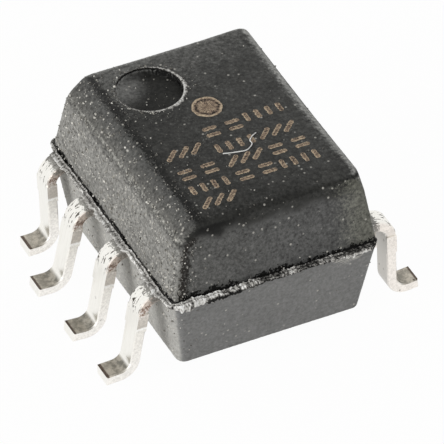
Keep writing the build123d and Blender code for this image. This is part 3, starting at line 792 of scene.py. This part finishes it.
def partingFlash(f):
    # The ragged skin squeezed out between the mould halves. Its section, carried round the outline, rises
    # from a gap beside the upper wall, painted black as shade, to a double ridge, hangs over the ledge and lies down
    # the lower wall: point = outline + normal (out - ledge) + up, with out and up from each place's gap, reach,
    # height and droop, each with its own wander.
    random = np.random.default_rng(f["seed"])
    places, outline, normals, length = roundedOutline(body["halfWidth"], body["halfLength"],
                                                      body["lowerCorner"], f["step"])

    def rough(spacing):
        return wander(random, places, spacing, length, closed=True)

    front = np.clip(-normals[:, 1], 0, 1) ** 2
    back = np.clip(normals[:, 1], 0, 1) ** 2
    zones = np.array(f["front"]).T
    frontValues = [np.interp(outline[:, 0], zones[0], row) for row in zones[1:]]
    side = f["left"]
    height, droop, crest, face, lip = (side[key] + (value - side[key]) * front for key, value in
                                       zip(("height", "droop", "crest", "face", "lip"), frontValues))
    gap = side["gap"] - 0.044 * front + 0.009 * rough(0.05)
    reach = side["reach"] - 0.034 * front + (0.006 + 0.009 * front) * (rough(0.07) + rough(0.03))
    height = height * (1 + 0.55 * rough(0.06) + 0.35 * rough(0.022)) + 0.004 * rough(0.03)
    droop = droop * (1 + 0.30 * rough(0.09) + 0.22 * rough(0.03))
    overLead = np.zeros(len(places))
    for number in range(1, 9):
        low, high = boxInMm("lead_%d" % number)
        sameSide = outline[:, 0] * (low[0] + high[0]) > 0
        overLead += within(outline[:, 1], low[1] + 0.02, high[1] - 0.02, 0.03) * sameSide * (1 - front) * (1 - back)
    reach = reach + f["leadOverlap"] * overLead * (1 + 0.5 * rough(0.04))
    height = height * (1 - 0.5 * overLead)
    droop = droop * (1 - overLead) + 0.006 * overLead
    trimmed = within(outline[:, 1], boxInMm("lead_1")[1][1] - 0.10, 9.0, 0.08) * (outline[:, 0] < -1.2)
    reach = reach + (f["trimmedReach"] - reach) * trimmed
    height, droop = height * (1 - 0.6 * trimmed), droop * (1 - 0.8 * trimmed)
    worn = within(outline[:, 0], f["wornFrom"], 9.0, 0.06) * (outline[:, 1] < -2.2)
    reach, height = reach - f["wornReach"] * worn, height * (1 - f["wornHeight"] * worn)
    width = reach - gap
    ledge = body["ledge"]
    wallFoot = ledge - droop * lowerLean
    valley = 0.30 + 0.25 * front + 0.2 * rough(0.05)
    section = [(gap + 0.004, -0.012), (gap, 0.002), (gap + 0.10 * width, 0.75 * height), (gap + 0.20 * width, height),
               (gap + 0.34 * width, 0.7 * height), (gap + 0.48 * width, valley * height),
               (gap + 0.62 * width, 0.7 * height), (gap + 0.80 * width, 0.95 * height),
               (gap + 0.93 * width, 0.65 * height), (reach, 0.05 * height), (reach - 0.004, -0.35 * droop),
               (0.5 * reach + 0.5 * wallFoot, -0.70 * droop), (wallFoot + 0.010, -0.94 * droop),
               (wallFoot - 0.004, -1.02 * droop), (ledge - 0.030, -0.016 + 0 * droop)]
    # Painted shade in the section's tones: black in the gap beside the wall and under the overhang at the lower wall,
    # dim where the ridge rises from the gap
    gapShade = 0.12 + 0.10 * rough(0.05)
    tones = [gapShade * 0, gapShade * 0, gapShade, crest, crest * 0.85, crest * (0.58 + 0.10 * front), crest * 0.85, crest,
             crest * 0.95, 0.6 * crest + 0.4 * face, face, face, lip, lip, gapShade * 0]
    out = np.stack([np.broadcast_to(pair[0], places.shape) for pair in section], axis=1)
    up = np.stack([np.broadcast_to(pair[1], places.shape) for pair in section], axis=1)
    broken = (0.14 + 0.16 * front) * rough(0.07) + (0.12 + 0.16 * front) * rough(0.028)
    tone = np.stack(tones, axis=1) * (0.92 + broken)[:, None]
    tone += random.normal(0, 0.13, out.shape) * (1 + 0.5 * front)[:, None]
    tone *= (1 - f["wornTone"] * worn)[:, None]
    out[:, 2:-2] += random.normal(0, 0.0022, out[:, 2:-2].shape)
    up[:, 2:-2] += random.normal(0, 0.0022, up[:, 2:-2].shape)
    flat = outline[:, None, :] + normals[:, None, :] * (out - ledge)[:, :, None]
    points = np.concatenate([flat, (body["partingZ"] + up)[:, :, None]], axis=2)
    rows, columns = out.shape
    addPiece("parting_flash", points.reshape(-1, 3), [gridFaces(rows, columns, wrapRows=True)], crustFinish,
             smooth=False, tone=tone)


skin = mouldedShell(shell)
partingFlash(flash)
print("body and parting flash made")


# Recess rim

rim = {"places": 520, "seed": 23, "height": 0.013, "width": 0.034}


def recessRim(r):
    # The torn lip round the round recess: a small rough bead on the circle, whose width and brightness grow
    # towards the front right. Point = centre + (radius + out) (cos, sin) + up.
    random = np.random.default_rng(r["seed"])
    angle = np.arange(r["places"]) * 2 * pi / r["places"]
    length = 2 * pi * recess["radius"]
    places = angle / (2 * pi) * length
    bright = 0.5 + 0.5 * np.cos(angle - radians(-35))
    uneven = 0.45 * wander(random, places, 0.07, length, closed=True)
    uneven += 0.40 * wander(random, places, 0.028, length, closed=True)
    width = r["width"] * np.maximum(0.35 + 1.35 * bright * (1 + uneven) + 0.3 * uneven, 0.12)
    height = r["height"] * (1 + 0.9 * uneven)
    section = [(-0.010, -0.030), (-0.008, -0.004), (-0.002, 0.6), (0.25, 1.0), (0.6, 0.75), (0.9, 0.3), (1.0, -0.003),
               (0.5, -0.006)]
    out = np.stack([o + 0 * width if o <= 0 else o * width for o, u in section], axis=1)
    up = np.stack([u + 0 * height if u < 0 else u * height for o, u in section], axis=1)
    tone = np.stack([0 * bright, 0.2 * bright, 0.2 + 0.5 * bright, 0.3 + 0.5 * bright, 0.3 + 0.4 * bright,
                     0.2 + 0.3 * bright, 0.2 + 0 * bright, 0 * bright], axis=1)
    tone += random.normal(0, 0.14, tone.shape)
    reach = recess["radius"] + out
    points = np.stack([recess["x"] + reach * np.cos(angle)[:, None], recess["y"] + reach * np.sin(angle)[:, None],
                       body["topZ"] + up], axis=2)
    faces = gridFaces(len(angle), len(section), wrapRows=True)
    addPiece("recess_rim", points.reshape(-1, 3), [faces], crustFinish, smooth=False, tone=tone)


recessRim(rim)


# Etched marks on the top: plain blocks of short bars, and a round spot

marks = {"seed": 31, "stroke": 0.084, "height": 0.007, "cellLength": 0.70, "cellWidth": 0.24,
         "rows": [(0.94, [-0.06, -0.60, -1.07, -1.47]), (0.125, [-0.15, -0.62, -1.03, -1.45]),
                  (-0.765, [-0.45, -1.02, -1.44, -1.84])],
         "spot": {"x": 0.125, "y": 0.48, "radius": 0.27}}


def stroke(random, start, end, width, height, lift):
    # A low rough bead along a straight line: path + a across + b up, a = width cos, b = height max(sin, -0.3),
    # tapering at its ends, brighter along its two edges than in the middle
    rows, columns = max(int(np.hypot(*(np.array(end) - start)) / 0.014), 4), 12
    t = np.linspace(0, 1, rows)
    path = np.outer(1 - t, start) + np.outer(t, end)
    direction = (np.array(end) - start) / np.hypot(*(np.array(end) - start))
    across = np.array([-direction[1], direction[0]])
    turn = np.arange(columns) * 2 * pi / columns
    taper = np.sqrt(np.clip(np.minimum(t, 1 - t) * 9 + 0.15, 0, 1))
    rough = 1 + random.normal(0, 0.13, (rows, columns))
    a = 0.5 * width * taper[:, None] * np.cos(turn) * rough
    b = height * taper[:, None] * np.maximum(np.sin(turn), -0.3) * rough + lift
    points = np.concatenate([path[:, None, :] + across * a[:, :, None], b[:, :, None]], axis=2)
    tone = 0.46 + 0.52 * np.abs(np.cos(turn)) ** 2 + random.normal(0, 0.22, (rows, columns))
    return points.reshape(-1, 3), gridFaces(rows, columns), endCaps(rows, columns), tone.ravel()


def etchedMarks(m):
    # Each cell holds one of three plain patterns in turn: four rungs, three slanted bars, two files of dashes
    random = np.random.default_rng(m["seed"])
    far, wide = m["cellLength"] / 2, m["cellWidth"] / 2
    rungs = [((p * far, -wide), (p * far, wide)) for p in (-0.9, -0.3, 0.3, 0.9)]
    slants = [((p * far - 0.12, -wide), (p * far + 0.12, wide)) for p in (-0.66, 0.0, 0.66)]
    dashes = [((p * far, q * wide), ((p + 0.76) * far, q * wide)) for p in (-1.0, 0.24) for q in (-0.75, 0.75)]
    patterns = [rungs, slants, dashes]
    blocks = []
    for rowIndex, (x, places) in enumerate(m["rows"]):
        for index, y in enumerate(places):
            for start, end in patterns[(index + 2 * rowIndex) % 3]:
                blocks.append(stroke(random, np.add(start, (x, y)), np.add(end, (x, y)), m["stroke"], m["height"],
                                     body["topZ"]))
    joinPieces("etched_marks", blocks, etchFinish)


def joinPieces(name, blocks, material):
    # One mesh from several blocks of points, side faces, end faces and tones
    starts = np.concatenate([[0], np.cumsum([len(block[0]) for block in blocks])[:-1]])
    points = np.concatenate([block[0] for block in blocks])
    sides = np.concatenate([block[1] + start for block, start in zip(blocks, starts)])
    ends = np.concatenate([block[2] + start for block, start in zip(blocks, starts)])
    tone = np.concatenate([block[3] for block in blocks])
    addPiece(name, points, [sides, ends], material, smooth=False, tone=tone)


def etchedSpot(m):
    # A round rough spot, a disc of rings: height and tone vary at random, with a paler rim
    random = np.random.default_rng(m["seed"] + 1)
    spot = m["spot"]
    reach = np.array([0.008, 0.03, 0.055, 0.08, 0.105, 0.13, 0.155, 0.18, 0.205, 0.23, 0.25, 0.27, 0.272]) / 0.27
    columns = 90
    turn = np.arange(columns) * 2 * pi / columns
    edge = 1 + 0.03 * wander(random, turn, 0.15, 2 * pi, closed=True)
    radius = spot["radius"] * reach[:, None] * edge
    up = m["height"] * (0.7 + random.uniform(-0.5, 0.5, radius.shape))
    up[-1] = -0.003
    up[0] = 0.7 * m["height"]
    tone = 0.62 + 0.30 * within(reach, 0.88, 1.1, 0.05) - 0.45 * within(reach, 0.70, 0.80, 0.06)
    tone = tone[:, None] + random.normal(0, 0.22, radius.shape)
    points = np.stack([spot["x"] + radius * np.cos(turn), spot["y"] + radius * np.sin(turn), body["topZ"] + up], axis=2)
    faces = gridFaces(len(reach), columns)[:, ::-1]
    caps = endCaps(len(reach), columns)[:, ::-1]
    addPiece("etched_spot", points.reshape(-1, 3), [faces, caps], etchFinish, smooth=False, tone=tone)


etchedMarks(marks)
etchedSpot(marks)
print("marks made")


# A stray fibre on the top

fibre = {"radius": 0.009, "path": [(-0.184, -0.785), (0.00, -0.845), (0.207, -0.885), (0.320, -0.835), (0.383, -0.761),
         (0.388, -0.673), (0.470, -0.590), (0.577, -0.525)],
         "lift": [0, 0.008, 0.012, 0.02, 0.012, 0.008, 0.015, 0.004], "seed": 41, "rows": 120, "columns": 10}


def strayFibre(f):
    # A round thread along a smooth curve through the path's points: centre + radius (cos across + sin up)
    random = np.random.default_rng(f["seed"])
    knots = np.array([(x, y, body["topZ"] + f["radius"] * 0.8 + lift) for (x, y), lift in zip(f["path"], f["lift"])])
    padded = np.concatenate([[2 * knots[0] - knots[1]], knots, [2 * knots[-1] - knots[-2]]])
    rows, columns = f["rows"], f["columns"]
    span = np.linspace(0, len(knots) - 1.0001, rows)
    index = span.astype(int)
    t = (span - index)[:, None]
    p0, p1, p2, p3 = (padded[index + k] for k in range(4))
    centre = 0.5 * (2 * p1 + (p2 - p0) * t + (2 * p0 - 5 * p1 + 4 * p2 - p3) * t ** 2
                    + (3 * p1 - p0 - 3 * p2 + p3) * t ** 3)
    tangent = np.gradient(centre, axis=0)
    tangent /= np.linalg.norm(tangent, axis=1)[:, None]
    across = np.cross(np.array([0, 0, 1.0]), tangent)
    across /= np.linalg.norm(across, axis=1)[:, None]
    upright = np.cross(tangent, across)
    turn = np.arange(columns) * 2 * pi / columns
    radius = f["radius"] * (1 + 0.15 * wander(random, np.linspace(0, 1, rows), 0.05, 1.0))[:, None, None]
    points = centre[:, None, :] + radius * (np.cos(turn)[:, None] * across[:, None, :]
                                            + np.sin(turn)[:, None] * upright[:, None, :])
    tone = np.full((rows, columns), 0.75)
    addPiece("stray_fibre", points.reshape(-1, 3), [gridFaces(rows, columns), endCaps(rows, columns)], fibreFinish,
             tone=tone)


strayFibre(fibre)


# Settled dust

dust = {"seed": 53, "candidates": 90000, "count": 3000, "smallest": 0.006, "largest": 0.024,
        "left": 0.80, "bevel": 0.9, "front": 0.05, "top": 0.10, "elsewhere": 0.10, "corner": 2.6, "rim": 4.5,
        "recessFloor": 0.12, "bevelHead": 1.3, "parting": 0.4, "lowerHalf": 0.15}


def settledDust(d):
    # Crumbs of resin and dust: quads of the skin's grid drawn by area and zone, then a random place in each.
    # Every crumb is an icosahedron with its corners pulled in and out, half sunk in the surface.
    random = np.random.default_rng(d["seed"])
    start = skin[:-1]
    alongRow = np.roll(start, -1, axis=1) - start
    upColumn = skin[1:] - start
    cross = np.cross(alongRow, upColumn).reshape(-1, 3)
    area = np.linalg.norm(cross, axis=1)
    pick = random.choice(len(area), d["candidates"], p=area / area.sum())
    first, second = random.uniform(0, 1, (2, d["candidates"], 1))
    start, alongRow, upColumn = (v.reshape(-1, 3)[pick] for v in (start, alongRow, upColumn))
    points = start + first * alongRow + second * upColumn
    normal = cross[pick] / area[pick][:, None]
    left, front, flat = normal[:, 0] < -0.8, normal[:, 1] < -0.8, normal[:, 2] > 0.85
    bevel = (normal[:, 0] < -0.6) & (normal[:, 2] > 0.6)
    weight = np.select([left, bevel, front, flat], [d["left"], d["bevel"], d["front"], d["top"]], d["elsewhere"])
    nearCorner = np.clip((-points[:, 1] - 1.9) / 0.4, 0, 1) * np.clip((-points[:, 0] - 1.3) / 0.4, 0, 1)
    weight = weight + d["corner"] * nearCorner * (left | bevel | front)
    nearParting = np.exp(-np.abs(points[:, 2] - body["partingZ"]) / 0.10)
    rimReach = np.hypot(points[:, 0] - recess["x"], points[:, 1] - recess["y"]) - recess["radius"]
    nearRim = np.exp(-np.clip(rimReach, 0, 9) / 0.06) * (rimReach > 0) * flat
    headReach = np.clip(points[:, 0] - bevelHeadX, 0, 9)
    sparse = np.where(flat, np.clip(0.5 - 0.45 * points[:, 0], 0.1, 1.2), 1.0)
    weight = weight * sparse + d["rim"] * nearRim + d["bevelHead"] * np.exp(-headReach / 0.16) * flat
    weight = np.where(rimReach < 0, d["recessFloor"] * flat, weight)
    weight = (weight + d["parting"] * nearParting) * np.select(
        [points[:, 2] < 0.4, points[:, 2] < body["partingZ"] - 0.12], [0.0, d["lowerHalf"]], 1.0)
    chance = weight / weight.max() * random.uniform(0.02, 1, len(weight)) ** 0.3
    keep = random.choice(len(weight), d["count"], replace=False, p=chance / chance.sum())
    points, normal = points[keep], normal[keep]
    golden = (1 + 5 ** 0.5) / 2
    ball = np.array([(-1, golden, 0), (1, golden, 0), (-1, -golden, 0), (1, -golden, 0), (0, -1, golden),
                     (0, 1, golden), (0, -1, -golden), (0, 1, -golden), (golden, 0, -1), (golden, 0, 1),
                     (-golden, 0, -1), (-golden, 0, 1)]) / (1 + golden ** 2) ** 0.5
    faces = np.array([(0, 11, 5), (0, 5, 1), (0, 1, 7), (0, 7, 10), (0, 10, 11), (1, 5, 9), (5, 11, 4), (11, 10, 2),
                      (10, 7, 6), (7, 1, 8), (3, 9, 4), (3, 4, 2), (3, 2, 6), (3, 6, 8), (3, 8, 9), (4, 9, 5),
                      (2, 4, 11), (6, 2, 10), (8, 6, 7), (9, 8, 1)])
    size = d["smallest"] + (d["largest"] - d["smallest"]) * random.uniform(0, 1, len(points)) ** 3
    size *= np.where(front | flat & (rimReach > 0.1), 0.7, 1.0)[keep]
    shape = ball[None] * random.uniform(0.65, 1.25, (len(points), 12, 1))
    shape = shape * random.uniform(0.7, 1.3, (len(points), 1, 3))
    grains = points[:, None, :] + normal[:, None, :] * (0.3 * size)[:, None, None] + shape * size[:, None, None]
    allFaces = (faces[None] + (np.arange(len(points)) * 12)[:, None, None]).reshape(-1, 3)
    bright = random.uniform(0, 1, len(points)) ** np.where(left | bevel, 0.8, 2.2)[keep]
    tone = np.repeat(bright, 12)
    addPiece("settled_dust", grains.reshape(-1, 3), [allFaces], dustFinish, smooth=False, tone=tone)


settledDust(dust)
print("dust settled")
